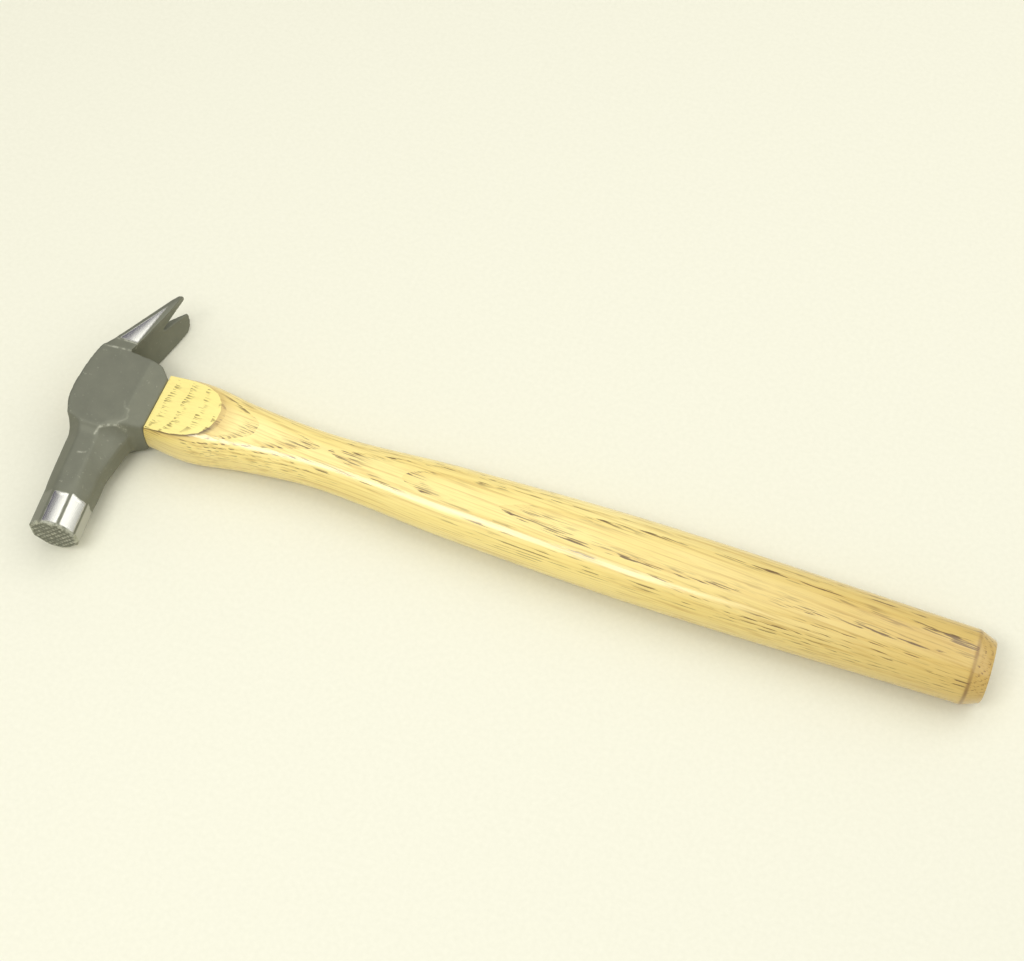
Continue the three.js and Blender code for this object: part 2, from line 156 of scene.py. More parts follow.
# The neck flows into the eye block without sharp edges
NECK_FLOW_Y = (-17 * MM, -5.5 * MM)
points = points_of(head)
soften(head, (points[:, 1] > NECK_FLOW_Y[0]) & (points[:, 1] < NECK_FLOW_Y[1]), repeat=5)

# The corners of the eye block beside the neck are well rounded
CORNER_FROM = Vector((-147, -4.5, 0)) * MM
CORNER_HEIGHT = 3.5 * MM
points = points_of(head)
at_corner = (points[:, 0] > CORNER_FROM.x) & (points[:, 1] < CORNER_FROM.y)
soften(head, at_corner & (np.abs(points[:, 2] - POLL_ROOT.z) > CORNER_HEIGHT), repeat=40)

# The eight sides of the poll run into each other in soft corners, as the forging leaves them
POLL_HALF_ACROSS = 8.6 * MM
POLL_HALF_UP = 9 * MM
POLL_HALF_FACET = 8.795 * MM
NECK_END = 5 * MM
SOFT_FROM = 6 * MM
SIDE_SOFTNESS = (40, 12)
SOFTER_ALONG = (14 * MM, 24 * MM)
# Share of bright polish on each side of the poll, from the one at the handle to the one away from it
FACET_POLISH = (0.5, 1, 1, 0.12, 0.12)
poll_facets = []
for step in range(8):
    turn = step * math.pi / 4
    across, up = math.cos(turn), math.sin(turn)
    reach = POLL_HALF_FACET
    if step % 4 == 0:
        reach = POLL_HALF_ACROSS
    elif step % 2 == 0:
        reach = POLL_HALF_UP
    poll_facets.append((np.array((across, up)), reach, FACET_POLISH[min(step, 8 - step)]))


def on_poll(points):
    """Distance along the poll and the two distances across it, for each point."""
    local = points - np.array(POLL_ROOT)
    return local @ np.array(poll_along), np.stack((local @ np.array(poll_across), local[:, 2]), 1)


def move_across_poll(points, shift):
    """Moves points across the poll by two distances each."""
    return points + shift[:, :1] * np.array(poll_across) + shift[:, 1:] * np.array((0, 0, 1))


points = points_of(head)
along, section = on_poll(points)
softness = np.interp(along, SOFTER_ALONG, SIDE_SOFTNESS)
ratios = [np.clip(section @ outward / reach, 0, None) ** softness for outward, reach, _ in poll_facets]
overshoot = np.clip(sum(ratios) ** (1 / softness), 1, None)
share = np.clip((along - NECK_END) / SOFT_FROM, 0, 1)
share = share**2 * (3 - 2 * share)
points = move_across_poll(points, section * (share * (1 / overshoot - 1))[:, None])

# Towards the handle the neck is fuller, where it sweeps into the eye block: most of all at one place
# along it, and at these millimetres across and up with these shares
NECK_FULLNESS = 2.4 * MM
FULLEST_AT, FULL_REACH = 2 * MM, 13 * MM
FULL_ACROSS = ((2, 7, 10, 14), (0, 1, 1, 0))
FULL_UP = ((4.5, 9.2), (1, 0))
fuller = np.clip(1 - np.abs(along - FULLEST_AT) / FULL_REACH, 0, 1)
fuller = fuller**2 * (3 - 2 * fuller)
fuller *= np.interp(section[:, 0] / MM, *FULL_ACROSS)
fuller *= np.interp(np.abs(section[:, 1]) / MM, *FULL_UP)
points = move_across_poll(points, np.stack((NECK_FULLNESS * fuller, np.zeros(len(points))), 1))

# Beside the handle the block narrows until it is almost flush with the handle's shoulder
BLOCK_NARROWING = 2.2 * MM
NARROWS_FROM, NARROWS_TO = -143 * MM, -135.4 * MM
NARROWED_SIDE = ((-22, -14, -8, -2.5), (0, 1, 1, 0))
narrower = np.clip((points[:, 0] - NARROWS_FROM) / (NARROWS_TO - NARROWS_FROM), 0, 1)
narrower *= np.interp(points[:, 1] / MM, *NARROWED_SIDE)
points[:, 1] += BLOCK_NARROWING * narrower
head.data.vertices.foreach_set("co", points.ravel())
head.data.update()

# Edges along the top of the claw, rounded by the forging
CLAW_EDGE_ROUND = 1.4 * MM
CLAW_ROOT_Y = 21.3 * MM
CLAW_TOP_LINE = (Vector((-162.05, 21.3, 0)) * MM, Vector((-144.5, 51.46, 0)) * MM)
CLAW_THICKNESS = (10.65 * MM, 1.24 * MM)
CLAW_SIDE_CROWN = 0.02
CLAW_CROWN_FROM = CLAW_ROOT_Y + 4 * MM
CLAW_SIDE_HALF = 10.5 * MM
MIDDLE_HEIGHT = 11 * MM
claw_line = CLAW_TOP_LINE[1] - CLAW_TOP_LINE[0]
claw_out = np.array((-claw_line.y, claw_line.x)) / claw_line.length


def on_claw_side(points):
    """Depth of each point under the claw's top and the claw's thickness there, seen from the side."""
    local = points[:, :2] - np.array(CLAW_TOP_LINE[0][:2])
    share = np.clip(local @ np.array(claw_line[:2]) / claw_line.length_squared, 0, 1)
    return -local @ claw_out, CLAW_THICKNESS[0] + (CLAW_THICKNESS[1] - CLAW_THICKNESS[0]) * share


points = points_of(head)
depth, thickness = on_claw_side(points)
side_gap = np.abs(np.abs(points[:, 2] - MIDDLE_HEIGHT) - CLAW_SIDE_HALF)
on_edge = np.hypot(side_gap, depth) < CLAW_EDGE_ROUND
soften(head, on_edge & (points[:, 1] > CLAW_ROOT_Y), repeat=20)

# The ground sides of the claw are a little crowned
points = points_of(head)
depth, thickness = on_claw_side(points)
from_middle = np.clip(2 * depth / thickness - 1, -1, 1)
reach = CLAW_SIDE_HALF - CLAW_SIDE_CROWN * thickness * from_middle**2
height = points[:, 2] - MIDDLE_HEIGHT
beyond = (np.abs(height) > reach) & (points[:, 1] > CLAW_CROWN_FROM)
points[:, 2] = np.where(beyond, MIDDLE_HEIGHT + np.sign(height) * reach, points[:, 2])
head.data.vertices.foreach_set("co", points.ravel())
head.data.update()

# Bright grinding of the poll's end: each side is ground a little crowned, short of the soft corners,
# and starts later in the middle, so the matte skin hangs down there as a tongue
GRIND_START = 24 * MM
GRIND_TONGUE = 1.8 * MM
GRIND_DEPTH = 0.18 * MM
GRIND_CROWN = 0.16 * MM
GRIND_CURVE = 3 * MM
GRIND_FADE = 0.5 * MM
GRIND_EDGE = 0.05 * MM


def grinding(along, section):
    """For each side of the poll: its outward way, how far each point stands above the ground face,
    how far it lies behind the start of the grinding, and its polish."""
    half = POLL_HALF_FACET * math.tan(math.pi / 8)
    for outward, reach, polish in poll_facets:
        sideways = np.clip(section @ np.array((-outward[1], outward[0])) / half, -1, 1) ** 2
        run = along - GRIND_START - GRIND_TONGUE * (1 - sideways)
        cut = np.minimum(np.clip(run, 0, None) ** 2 / (2 * GRIND_CURVE), GRIND_DEPTH)
        cut += GRIND_CROWN * sideways
        yield outward, section @ outward - reach + cut, run, polish


points = points_of(head)
along, section = on_poll(points)
for outward, proud, run, _ in grinding(along, section):
    shift = -np.where((run > 0) & (proud > 0), proud, 0)[:, None] * outward
    section = section + shift
    points = move_across_poll(points, shift)
points = np.clip(points, *(np.array(corner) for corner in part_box("hammer_head")))
head.data.vertices.foreach_set("co", points.ravel())
head.data.update()

# Checkering: V grooves both ways across the corners of the face, sunk into a finer skin
CHECKER_PITCH = 1.7 * MM
CHECKER_DEPTH = 0.5 * MM
CHECKERED_SHARE = 0.88
CHECKER_RUNOUT = 0.02
work_on(head)
bpy.ops.object.shade_smooth_by_angle(angle=math.radians(35))
choose(head, on_poll(points_of(head))[0] > POLL_LENGTH - RIM_ROUND / 2)
bpy.ops.mesh.subdivide(number_cuts=2)
bpy.ops.object.mode_set(mode="OBJECT")
points = points_of(head)
along, section = on_poll(points)
diagonals = section @ np.array(((1, 1), (1, -1))) * math.sqrt(0.5) / CHECKER_PITCH
from_groove = np.abs(diagonals - np.round(diagonals)).min(axis=1) * CHECKER_PITCH
to_side = np.max([section @ outward / reach for outward, reach, _ in poll_facets], axis=0)
checkered = np.clip((CHECKERED_SHARE - to_side) / CHECKER_RUNOUT, 0, 1)
checkered *= along > POLL_LENGTH - RIM_ROUND / 2
sunk = np.clip(CHECKER_DEPTH - from_groove, 0, None) * checkered
points = points - sunk[:, None] * np.array(poll_along)
head.data.vertices.foreach_set("co", points.ravel())
head.data.update()

# Share of bright grinding and of rubbing at each point, for the finish. The lines, seen on the cheek
# in millimetres and each with its share of rubbing, are bright lines, partly worn bare metal and partly a
# painted glint of light: the worn end of the bevel, the arch over the corner of the neck, some scratches
# on the neck and the two edges at the root of the claw.
RUBBED_AND_GLINT_LINES = (
    (0.3, (-144.6, 1.6), (-143.1, -1), (-141.7, -1.1), (-140.9, -4.2), (-141.8, -5.7), (-143.2, -7.2)),
    (0.9, (-149.3, -13.3), (-148.8, -11.4), (-148, -10.5), (-145.5, -8.7), (-143.2, -7.8), (-140.4, -7.5)),
    (0.7, (-151.6, -21.6), (-150.2, -21.4), (-149, -20.6)),
    (1, (-161.7, 20.5), (-151.6, 21.5)),
    (1, (-158.7, 24.9), (-150.9, 25)),
)
RUBBED_AND_GLINT_WIDTH = 0.4 * MM
RUBBED_AND_GLINT_FROM_HEIGHT = MIDDLE_HEIGHT + 6.5 * MM
RUBBED_DEPTH = 0.6 * CHECKER_DEPTH
CLAW_GROUND_FROM = 25.4 * MM
CLAW_GROUND_EDGE = 1.4 * MM
CLAW_GROUND_TAPER = 0.28
CLAW_GROUND_FADE = 0.3 * MM
CLAW_GROUND_SKIN = 0.25 * MM
points = points_of(head)
along, section = on_poll(points)
bright = np.zeros(len(points))
for outward, proud, run, polish in grinding(along, section):
    ground = np.clip(run / GRIND_FADE, 0, 1) * np.clip(1 + proud / GRIND_EDGE, 0, 1)
    bright = np.maximum(bright, polish * ground)
bright[along > POLL_LENGTH - RIM_ROUND] = 0
claw_side = np.abs(points[:, 2] - MIDDLE_HEIGHT) > CLAW_SIDE_HALF - CLAW_GROUND_SKIN
depth, thickness = on_claw_side(points)
above_edge = thickness - depth - CLAW_GROUND_TAPER * (CLAW_THICKNESS[0] - thickness)
inside = np.minimum(np.minimum(depth - CLAW_GROUND_EDGE, above_edge), points[:, 1] - CLAW_GROUND_FROM)
bright = np.maximum(bright, claw_side * np.clip(inside / CLAW_GROUND_FADE, 0, 1))
head.data.attributes.new("bright_grinding", "FLOAT", "POINT").data.foreach_set("value", bright)
rubbed_and_glint = np.zeros(len(points))
# Each line is painted paler: partly worn bare metal, partly a painted glint of light on the edge.
for strength, *line in RUBBED_AND_GLINT_LINES:
    for start, end in zip(line, line[1:]):
        start, run = np.array(start) * MM, np.subtract(end, start) * MM
        share = np.clip((points[:, :2] - start) @ run / (run @ run), 0, 1)
        apart = np.linalg.norm(points[:, :2] - start - share[:, None] * run, axis=1)
        rubbed_and_glint = np.maximum(rubbed_and_glint, strength * np.clip(1.2 - apart / RUBBED_AND_GLINT_WIDTH, 0, 1))
rubbed_and_glint[points[:, 2] < RUBBED_AND_GLINT_FROM_HEIGHT] = 0
on_face = along > POLL_LENGTH - RIM_ROUND
rubbed_and_glint[on_face] = np.clip(1 - sunk / RUBBED_DEPTH, 0, 1)[on_face]
head.data.attributes.new("rubbed_and_glint", "FLOAT", "POINT").data.foreach_set("value", rubbed_and_glint)


def linear(colour):
    """An sRGB hex colour as linear red, green and blue, fully opaque."""
    parts = [int(colour[i : i + 2], 16) / 255 for i in (1, 3, 5)]
    return [c / 12.92 if c <= 0.04045 else ((c + 0.055) / 1.055) ** 2.4 for c in parts] + [1]


def add_node(tree, kind, inputs=None, **settings):
    """Adds a node with its settings. Each input is a value, or the output that feeds it."""
    node = tree.nodes.new(kind)
    for name, value in settings.items():
        setattr(node, name, value)
    for key, value in (inputs or {}).items():
        if isinstance(value, bpy.types.NodeSocket):
            tree.links.new(value, node.inputs[key])
        else:
            node.inputs[key].default_value = value
    return node


def new_material(name):
    """An empty material, with its tree and its object coordinates in millimetres."""
    material = bpy.data.materials.new(name)
    material.use_nodes = True
    tree = material.node_tree
    tree.nodes.clear()
    place = add_node(tree, "ShaderNodeTexCoord").outputs["Object"]
    place = add_node(tree, "ShaderNodeVectorMath", {0: place, "Scale": 1 / MM}, operation="SCALE")
    return material, tree, place.outputs[0]


# Forged carbon steel, shot-blasted: matte olive grey with a soft mottle and a fine grain, and bright
# where edges have rubbed, with a painted glint of light along the rubbed edge lines. Where it is ground
# it mirrors in streaks along the grinding.
forged_steel, tree, place = new_material("forged_steel_blasted_and_ground")
MOTTLE = 5
CHIP = 1.6
# The grain of the blasting and the grinding lines are drawn about three times as coarse as real ones
BLAST_GRAIN = 0.45
GRIND_LINE_WIDTH, GRIND_LINE_LENGTH = 0.22, 14
mottle = add_node(
    tree, "ShaderNodeTexNoise", {"Vector": place, "Scale": 1 / MOTTLE, "Detail": 4, "Roughness": 0.6}
).outputs[0]
blast = add_node(
    tree, "ShaderNodeTexNoise", {"Vector": place, "Scale": 1 / BLAST_GRAIN, "Detail": 2}
).outputs[0]
lines_place = add_node(
    tree,
    "ShaderNodeMapping",
    {
        "Vector": place,
        "Rotation": (0, 0, -POLL_LEAN),
        "Scale": (1 / GRIND_LINE_WIDTH, 1 / GRIND_LINE_LENGTH, 1 / GRIND_LINE_WIDTH),
    },
)
grind_lines = add_node(
    tree, "ShaderNodeTexNoise", {"Vector": lines_place.outputs[0], "Scale": 1, "Detail": 1}
).outputs[0]
ground = add_node(tree, "ShaderNodeAttribute", attribute_name="bright_grinding").outputs["Fac"]
forged_colour = add_node(
    tree,
    "ShaderNodeMix",
    {0: mottle, 6: linear("#6e6f61"), 7: linear("#848574")},
    data_type="RGBA",
).outputs[2]
rubbed_and_glint = add_node(tree, "ShaderNodeAttribute", attribute_name="rubbed_and_glint").outputs["Fac"]
chips = add_node(
    tree, "ShaderNodeTexNoise", {"Vector": place, "Scale": 1 / CHIP, "Detail": 3, "Roughness": 0.7}
).outputs[0]
rub_and_glint_patches = add_node(tree, "ShaderNodeMapRange", {0: chips, 1: 0.4, 2: 0.6, 3: 0.12}).outputs[0]
rubbed_and_glint = add_node(tree, "ShaderNodeMath", {0: rubbed_and_glint, 1: rub_and_glint_patches}, operation="MULTIPLY").outputs[0]
chips = add_node(tree, "ShaderNodeMapRange", {0: chips, 1: 0.64, 2: 0.74, 4: 0.4}).outputs[0]
rubbed_and_glint = add_node(tree, "ShaderNodeMath", {0: rubbed_and_glint, 1: chips}, operation="MAXIMUM").outputs[0]
# Rubbed edge lines are painted paler here: partly worn metal, partly a painted glint of light.
skin_colour = add_node(
    tree, "ShaderNodeMix", {0: rubbed_and_glint, 6: forged_colour, 7: linear("#bdbdab")}, data_type="RGBA"
).outputs[2]
colour = add_node(
    tree, "ShaderNodeMix", {0: ground, 6: skin_colour, 7: linear("#dcdbd2")}, data_type="RGBA"
).outputs[2]
skin_rough = add_node(tree, "ShaderNodeMapRange", {0: mottle, 3: 0.5, 4: 0.66}).outputs[0]
ground_rough = add_node(tree, "ShaderNodeMapRange", {0: grind_lines, 3: 0.12, 4: 0.26}).outputs[0]
rough = add_node(tree, "ShaderNodeMix", {0: ground, 2: skin_rough, 3: ground_rough}).outputs[0]
metal = add_node(tree, "ShaderNodeMapRange", {0: ground, 3: 0.55, 4: 1}).outputs[0]
line_height = add_node(tree, "ShaderNodeMath", {0: grind_lines, 1: 0.12}, operation="MULTIPLY").outputs[0]
height = add_node(tree, "ShaderNodeMix", {0: ground, 2: blast, 3: line_height}).outputs[0]
bump = add_node(tree, "ShaderNodeBump", {"Height": height, "Strength": 0.5, "Distance": 0.06 * MM})
shader = add_node(
    tree,
    "ShaderNodeBsdfPrincipled",
    {"Base Color": colour, "Metallic": metal, "Roughness": rough, "Normal": bump.outputs[0]},
)
add_node(tree, "ShaderNodeOutputMaterial", {0: shader.outputs[0]})
head.data.materials.append(forged_steel)
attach(head, "root")
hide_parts("hammer_head")


# Handle: one stick of pale ring-porous wood, turned to an oval on a copying lathe, with two sawn
# flats on the swell and a chamfered butt. It is lacquered, and its tenon is wedged in the eye.

AXIS = Vector((-135.4, 8.097, 11)) * MM
SHAFT_START = 0.05
BUTT_CHAMFER_AT = 294
HANDLE_END = 300
# Distance from the head, width and thickness in millimetres: shoulder, swell, its runout, throat,
# rise, grip and butt
STATIONS = np.array(
    (
        (SHAFT_START, 25, 21.4),
        (14.5, 27.7, 22),
        (35, 23, 19.2),
        (63, 20, 17),
        (112, 25.9, 20),
        (185, 29.8, 21.9),
        (BUTT_CHAMFER_AT, 26.2, 20.6),
    )
)
BUTT_INSET = 4.4
CHAMFER_EDGE = 0.3
END_BREAK = 0.5
SWELL_AT, THROAT_AT = 14.5, 63
SWELL_POWER, GRIP_POWER = 3.1, 2.3
SWELL_OFFSET = 0.8
RING_STEP = 2
SIDES = 96


def smooth_through(x, knots, values):
    """A smooth curve through the values at the knots, without overshoot."""
    run = np.diff(knots)
    slope = np.diff(values) / run
    tangent = np.zeros(len(knots))
    for i in range(1, len(knots) - 1):
        if slope[i - 1] * slope[i] > 0:
            tangent[i] = 2 * slope[i - 1] * slope[i] / (slope[i - 1] + slope[i])
    tangent[0], tangent[-1] = slope[0], slope[-1]
    i = np.clip(np.searchsorted(knots, x) - 1, 0, len(run) - 1)
    t = (x - knots[i]) / run[i]
    rise = values[i] + (values[i + 1] - values[i]) * t**2 * (3 - 2 * t)
    return rise + run[i] * (tangent[i] * t * (1 - t) ** 2 - tangent[i + 1] * t**2 * (1 - t))


rings = list(np.linspace(SHAFT_START, BUTT_CHAMFER_AT, round(BUTT_CHAMFER_AT / RING_STEP)))
rings += [BUTT_CHAMFER_AT + CHAMFER_EDGE, HANDLE_END - END_BREAK, HANDLE_END]
bpy.ops.object.select_all(action="DESELECT")
bpy.ops.mesh.primitive_circle_add(
    vertices=SIDES,
    radius=10 * MM,
    fill_type="NGON",
    location=AXIS + Vector((rings[0] * MM, 0, 0)),
    rotation=(0, math.pi / 2, 0),
)
handle = bpy.context.object
handle.name = handle.data.name = "lacquered_handle"
bpy.ops.object.transform_apply()
work_on(handle, "EDIT")
for here, there in zip(rings, rings[1:]):
    bpy.ops.mesh.extrude_region_move(TRANSFORM_OT_translate={"value": ((there - here) * MM, 0, 0)})
bpy.ops.mesh.select_all(action="SELECT")
bpy.ops.mesh.normals_make_consistent(inside=False)

# Each ring becomes the oval of its place: softly squared at the swell, rounder from the throat on
work_on(handle)
points = (points_of(handle) - np.array(AXIS)) / MM
x = points[:, 0]
angle = np.arctan2(points[:, 2], points[:, 1])
to_grip = np.clip((x - SWELL_AT) / (THROAT_AT - SWELL_AT), 0, 1)
to_grip = to_grip**2 * (3 - 2 * to_grip)
power = SWELL_POWER + (GRIP_POWER - SWELL_POWER) * to_grip
inset = BUTT_INSET * np.clip((x - BUTT_CHAMFER_AT) / (HANDLE_END - BUTT_CHAMFER_AT), 0, 1)
inset += np.where(x > HANDLE_END - END_BREAK / 2, END_BREAK, 0)
on_shaft = np.minimum(x, BUTT_CHAMFER_AT)
width = smooth_through(on_shaft, STATIONS[:, 0], STATIONS[:, 1]) - inset
thickness = smooth_through(on_shaft, STATIONS[:, 0], STATIONS[:, 2]) - inset
cosine, sine = np.cos(angle), np.sin(angle)
points[:, 1] = np.sign(cosine) * np.abs(cosine) ** (2 / power) * width / 2 + SWELL_OFFSET * (to_grip - 1)
points[:, 2] = np.sign(sine) * np.abs(sine) ** (2 / power) * thickness / 2
handle.data.vertices.foreach_set("co", (points * MM + np.array(AXIS)).ravel())
handle.data.update()

# Sawn flats on both sides of the swell
FLAT_HALF = 6.9
FLAT_SLOPE = 0.15
work_on(handle, "EDIT")
for side in (1, -1):
    bpy.ops.mesh.select_all(action="SELECT")
    bpy.ops.mesh.bisect(
        plane_co=AXIS + Vector((0, 0, side * FLAT_HALF * MM)),
        plane_no=(-FLAT_SLOPE, 0, side),
        use_fill=True,
        clear_outer=True,
    )

# Tenon with its kerfs, drawn out into the shoulder and joined to it
TENON_OVERLAP = 2 * MM
tenon = copy_of_node("handle", "tenon")
bpy.ops.mesh.bisect(
    plane_co=AXIS + Vector((SHAFT_START * MM / 2, 0, 0)),
    plane_no=(1, 0, 0),
    use_fill=True,
    clear_outer=True,
)
bpy.ops.mesh.extrude_region_move(TRANSFORM_OT_translate={"value": (TENON_OVERLAP, 0, 0)})
bpy.ops.object.mode_set(mode="OBJECT")
finish_with(handle, "BOOLEAN", operation="UNION", object=tenon, solver="MANIFOLD")
bpy.data.objects.remove(tenon)
work_on(handle)
bpy.ops.object.shade_smooth_by_angle(angle=math.radians(30))

# Lacquered ash: straw yellow with growth rings about a millimetre apart that lie flat across the
# cheeks, rows of dark open pores along each ring, and a clear gloss coat over them.
RING_WIDTH = 0.95
PITH_DEPTH = 260
GRAIN_SLANT = math.radians(3)
BUTT_EDGE = AXIS.x / MM + BUTT_CHAMFER_AT
# The pores are drawn about twice as coarse as real ones
PORE_LENGTH, PORE_WIDTH = 9, 0.5
CLUSTER_LENGTH, CLUSTER_WIDTH = 24, 5
STREAK_LENGTH, STREAK_WIDTH = 45, 0.9
SLOW_LENGTH, SLOW_WIDTH = 60, 14
RING_WAVE = 0.9


def wood_grain(tree, place):
    """The stick's early wood, open pores, brown streaks and slow change of colour, each 0 to 1."""
    straight = add_node(
        tree,
        "ShaderNodeMapping",
        {
            "Vector": place,
            "Location": (0, -AXIS.y / MM, PITH_DEPTH - AXIS.z / MM),
            "Rotation": (0, 0, GRAIN_SLANT),
        },
    ).outputs[0]
    slow_place = add_node(
        tree,
        "ShaderNodeVectorMath",
        {0: straight, 1: (1 / SLOW_LENGTH, 1 / SLOW_WIDTH, 1 / SLOW_WIDTH)},
        operation="MULTIPLY",
    ).outputs[0]
    slow = add_node(tree, "ShaderNodeTexNoise", {"Vector": slow_place, "Scale": 1, "Detail": 2})
    waved = add_node(
        tree,
        "ShaderNodeVectorMath",
        {0: slow.outputs["Color"], 1: (0, RING_WAVE, RING_WAVE), 2: straight},
        operation="MULTIPLY_ADD",
    ).outputs[0]
    across = add_node(
        tree, "ShaderNodeVectorMath", {0: waved, 1: (0, 1, 1)}, operation="MULTIPLY"
    ).outputs[0]
    from_pith = add_node(tree, "ShaderNodeVectorMath", {0: across}, operation="LENGTH").outputs["Value"]
    turn = add_node(tree, "ShaderNodeMath", {0: from_pith, 1: RING_WIDTH}, operation="DIVIDE").outputs[0]
    phase = add_node(tree, "ShaderNodeMath", {0: turn}, operation="FRACT").outputs[0]
    early = add_node(
        tree,
        "ShaderNodeMapRange",
        {0: phase, 1: 0.05, 2: 0.55, 3: 1, 4: 0},
        interpolation_type="SMOOTHSTEP",
    ).outputs[0]
    pore_place = add_node(
        tree,
        "ShaderNodeVectorMath",
        {0: straight, 1: (1 / PORE_LENGTH, 1 / PORE_WIDTH, 1 / PORE_WIDTH)},
        operation="MULTIPLY",
    ).outputs[0]
    pore = add_node(tree, "ShaderNodeTexNoise", {"Vector": pore_place, "Scale": 1, "Detail": 1}).outputs[0]
    pore = add_node(tree, "ShaderNodeMapRange", {0: pore, 1: 0.515, 2: 0.59}).outputs[0]
    kept = add_node(tree, "ShaderNodeMapRange", {0: early, 3: 0.08, 4: 1}).outputs[0]
    pore = add_node(tree, "ShaderNodeMath", {0: pore, 1: kept}, operation="MULTIPLY").outputs[0]
    cluster_place = add_node(
        tree,
        "ShaderNodeVectorMath",
        {0: straight, 1: (1 / CLUSTER_LENGTH, 1 / CLUSTER_WIDTH, 1 / CLUSTER_WIDTH)},
        operation="MULTIPLY",
    ).outputs[0]
    cluster = add_node(
        tree, "ShaderNodeTexNoise", {"Vector": cluster_place, "Scale": 1, "Detail": 2}
    ).outputs[0]
    cluster = add_node(tree, "ShaderNodeMapRange", {0: cluster, 1: 0.4, 2: 0.55, 3: 0.12}).outputs[0]
    pore = add_node(tree, "ShaderNodeMath", {0: pore, 1: cluster}, operation="MULTIPLY").outputs[0]
    streak_place = add_node(
        tree,
        "ShaderNodeVectorMath",
        {0: straight, 1: (1 / STREAK_LENGTH, 1 / STREAK_WIDTH, 1 / STREAK_WIDTH)},
        operation="MULTIPLY",
    ).outputs[0]
    streak = add_node(
        tree, "ShaderNodeTexNoise", {"Vector": streak_place, "Scale": 1, "Detail": 1}
    ).outputs[0]
    streak = add_node(tree, "ShaderNodeMapRange", {0: streak, 1: 0.5, 2: 0.75}).outputs[0]
    return early, pore, streak, slow.outputs[0]


lacquered_wood, tree, place = new_material("ash_under_clear_lacquer")
early, pore, streak, slow = wood_grain(tree, place)
late_colour = add_node(
    tree, "ShaderNodeMix", {0: slow, 6: linear("#ebcf6c"), 7: linear("#ffeea2")}, data_type="RGBA"
).outputs[2]
ring_share = add_node(tree, "ShaderNodeMath", {0: early, 1: 0.22}, operation="MULTIPLY").outputs[0]
wood_colour = add_node(
    tree, "ShaderNodeMix", {0: ring_share, 6: late_colour, 7: linear("#d8b14e")}, data_type="RGBA"
).outputs[2]
streak_share = add_node(tree, "ShaderNodeMath", {0: streak, 1: 0.5}, operation="MULTIPLY").outputs[0]
wood_colour = add_node(
    tree, "ShaderNodeMix", {0: streak_share, 6: wood_colour, 7: linear("#b98f38")}, data_type="RGBA"
).outputs[2]
along_handle = add_node(tree, "ShaderNodeSeparateXYZ", {0: place})
to_butt = add_node(
    tree, "ShaderNodeMapRange", {0: along_handle.outputs[0], 1: 20, 2: 165, 3: 0, 4: 0.64}
).outputs[0]
wood_colour = add_node(
    tree, "ShaderNodeMix", {0: to_butt, 6: wood_colour, 7: linear("#b38b2c")}, data_type="RGBA"
).outputs[2]
height = add_node(
    tree, "ShaderNodeMath", {0: along_handle.outputs[2], 1: AXIS.z / MM}, operation="SUBTRACT"
).outputs[0]
height = add_node(tree, "ShaderNodeMath", {0: height}, operation="ABSOLUTE").outputs[0]
# The pores show on the broad sides, where the rings are cut flat, and hardly on the narrow ones
pore_share = add_node(tree, "ShaderNodeMapRange", {0: height, 1: 0, 2: 7, 3: 0.15, 4: 0.95}).outputs[0]
pore_share = add_node(tree, "ShaderNodeMath", {0: pore, 1: pore_share}, operation="MULTIPLY").outputs[0]
wood_colour = add_node(
    tree, "ShaderNodeMix", {0: pore_share, 6: wood_colour, 7: linear("#5f4208")}, data_type="RGBA"
).outputs[2]
# Brown along the rim of the flats, partly open end grain and partly painted shade where the surface falls
# away from them, with a painted shadow line along their rim, strongest on the -Y side. The butt's chamfer
# is browner, with a brown line at its start.
flat_height = add_node(
    tree,
    "ShaderNodeMath",
    {0: along_handle.outputs[0], 1: FLAT_SLOPE, 2: FLAT_HALF - FLAT_SLOPE * AXIS.x / MM},
    operation="MULTIPLY_ADD",
).outputs[0]
over_flat = add_node(tree, "ShaderNodeMath", {0: height, 1: flat_height}, operation="SUBTRACT").outputs[0]
# Painted shade, partly end grain: brown that deepens towards the rim of each flat.
rim_grain_and_painted_shade = add_node(
    tree, "ShaderNodeMapRange", {0: over_flat, 1: -2.2, 2: 0, 4: 0.4}, interpolation_type="SMOOTHSTEP"
).outputs[0]
# Painted shadow: a dark line along the rim of the flats, strongest on the -Y side.
rim_painted_shadow = add_node(tree, "ShaderNodeMapRange", {0: over_flat, 1: -0.6, 2: -0.15}).outputs[0]
rim_painted_shadow_side = add_node(
    tree, "ShaderNodeMapRange", {0: along_handle.outputs[1], 1: 0, 2: 6, 3: 0.85, 4: 0.15}
).outputs[0]
rim_painted_shadow = add_node(tree, "ShaderNodeMath", {0: rim_painted_shadow, 1: rim_painted_shadow_side}, operation="MULTIPLY").outputs[0]
from_edge = add_node(
    tree, "ShaderNodeMath", {0: along_handle.outputs[0], 1: BUTT_EDGE}, operation="SUBTRACT"
).outputs[0]
chamfer_shade = add_node(
    tree, "ShaderNodeMapRange", {0: from_edge, 1: -2, 2: 0.5, 4: 0.3}, interpolation_type="SMOOTHSTEP"
).outputs[0]
from_edge = add_node(tree, "ShaderNodeMath", {0: from_edge}, operation="ABSOLUTE").outputs[0]
chamfer_line = add_node(
    tree, "ShaderNodeMapRange", {0: from_edge, 1: 0.15, 2: 1, 3: 1, 4: 0}, interpolation_type="SMOOTHSTEP"
).outputs[0]
line_share = add_node(tree, "ShaderNodeMapRange", {0: slow, 1: 0.35, 2: 0.65, 3: 0.3, 4: 0.85}).outputs[0]
chamfer_line = add_node(
    tree, "ShaderNodeMath", {0: chamfer_line, 1: line_share}, operation="MULTIPLY"
).outputs[0]
